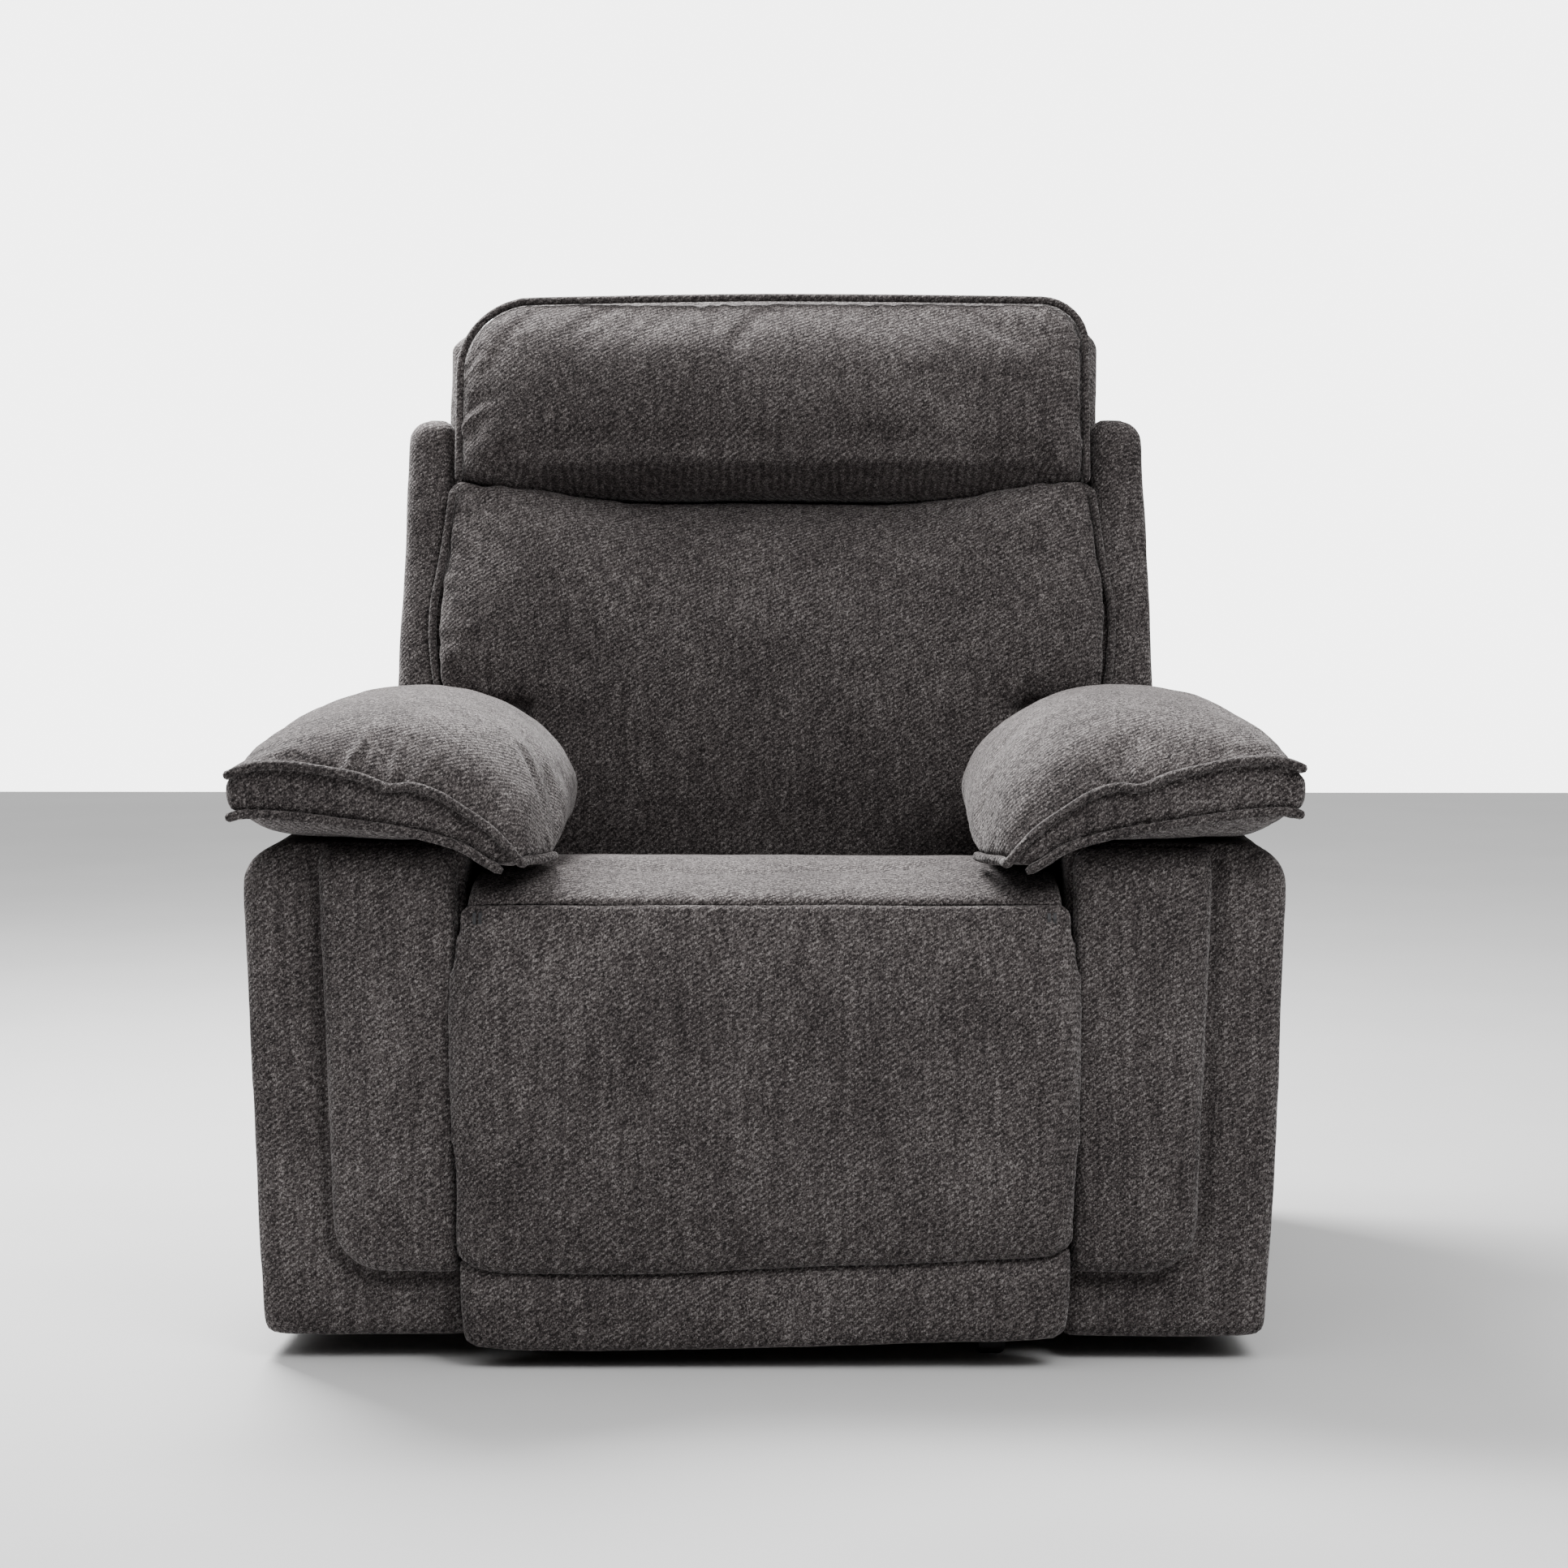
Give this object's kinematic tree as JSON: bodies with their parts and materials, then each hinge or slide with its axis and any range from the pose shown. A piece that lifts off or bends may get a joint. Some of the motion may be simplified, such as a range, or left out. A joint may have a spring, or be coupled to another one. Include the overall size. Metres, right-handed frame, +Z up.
{
  "type": "recliner armchair",
  "caption": "Upholstered recliner armchair: padded arms with pillow tops, seat, fold-out footrest panel, reclining back with a head roll, side hand lever.",
  "frame": {"origin": "on the floor, under the middle of the closed chair's box", "axes": "+Z up, the sitter faces -Y, +X to the right as seen from the front"},
  "size_m": [1.008, 0.9786, 1.0483],
  "materials": {
    "upholstery_fabric": "matte",
    "webbing": "matte",
    "frame_wood": "matte",
    "mechanism_steel": "satin",
    "spring_steel": "satin",
    "black_plastic": "satin"
  },
  "bodies": {
    "root": {"arm_inner_board_left": "frame_wood", "arm_inner_board_right": "frame_wood", "arm_outer_board_left": "frame_wood", "arm_outer_board_right": "frame_wood", "arm_top_board_left": "frame_wood", "arm_top_board_right": "frame_wood", "arm_front_post_left": "frame_wood", "arm_front_post_right": "frame_wood", "arm_rear_post_left": "frame_wood", "arm_rear_post_right": "frame_wood", "arm_casing_left": "upholstery_fabric", "arm_casing_right": "upholstery_fabric", "arm_front_pad_left": "upholstery_fabric", "arm_front_pad_right": "upholstery_fabric", "arm_top_pad_left": "upholstery_fabric", "arm_top_pad_right": "upholstery_fabric", "base_front_rail": "frame_wood", "base_rear_rail": "frame_wood", "base_rear_panel": "upholstery_fabric", "foot_front_left": "black_plastic", "foot_front_right": "black_plastic", "foot_rear_left": "black_plastic", "foot_rear_right": "black_plastic", "mech_plate_left": "mechanism_steel", "mech_plate_right": "mechanism_steel", "seat_side_rail_left": "frame_wood", "seat_side_rail_right": "frame_wood", "hinge_leaf_left": "mechanism_steel", "hinge_leaf_right": "mechanism_steel", "seat_front_rail": "frame_wood", "seat_rear_rail": "frame_wood", "seat_springs": "spring_steel", "seat_cushion": "upholstery_fabric", "handle_escutcheon": "black_plastic"},
    "back": {"back_post_left": "frame_wood", "back_post_right": "frame_wood", "back_wing_left": "upholstery_fabric", "back_wing_right": "upholstery_fabric", "back_bracket_left": "mechanism_steel", "back_bracket_right": "mechanism_steel", "back_top_rail": "frame_wood", "back_mid_rail": "frame_wood", "back_bottom_rail": "frame_wood", "back_webbing": "webbing", "back_cushion": "upholstery_fabric", "head_cushion": "upholstery_fabric", "back_rear_panel": "upholstery_fabric"},
    "footrest": {"footrest_board": "frame_wood", "footrest_pad": "upholstery_fabric", "footrest_lower_pad": "upholstery_fabric", "footrest_bracket_left": "mechanism_steel", "footrest_bracket_right": "mechanism_steel"},
    "lift_crank": {"torque_tube": "mechanism_steel", "recline_handle": "black_plastic", "lift_crank_left": "mechanism_steel", "lift_crank_right": "mechanism_steel"},
    "push_links": {"push_link_left": "mechanism_steel", "push_link_right": "mechanism_steel"}
  },
  "joints": [
    {"name": "back_recline", "type": "hinge", "parent": "root", "child": "back", "pos_m": [0, 0.2, 0.34], "axis": [-1, 0, 0], "range_deg": [0, 33]},
    {"name": "footrest_lift", "type": "hinge", "parent": "root", "child": "footrest", "pos_m": [0, -0.47, 0.432], "axis": [-1, 0, 0], "range_deg": [0, 88]},
    {"name": "crank_turn", "type": "hinge", "parent": "root", "child": "lift_crank", "pos_m": [0, -0.1, 0.31], "axis": [-1, 0, 0], "range_deg": [0, 88]},
    {"name": "link_swing", "type": "hinge", "parent": "lift_crank", "child": "push_links", "pos_m": [0, -0.045, 0.163], "axis": [-1, 0, 0], "range_deg": [-88, 0]}
  ],
  "couplings": [
    {"joint": "crank_turn", "follows": "footrest_lift", "ratio": 1},
    {"joint": "link_swing", "follows": "footrest_lift", "ratio": -1}
  ]
}
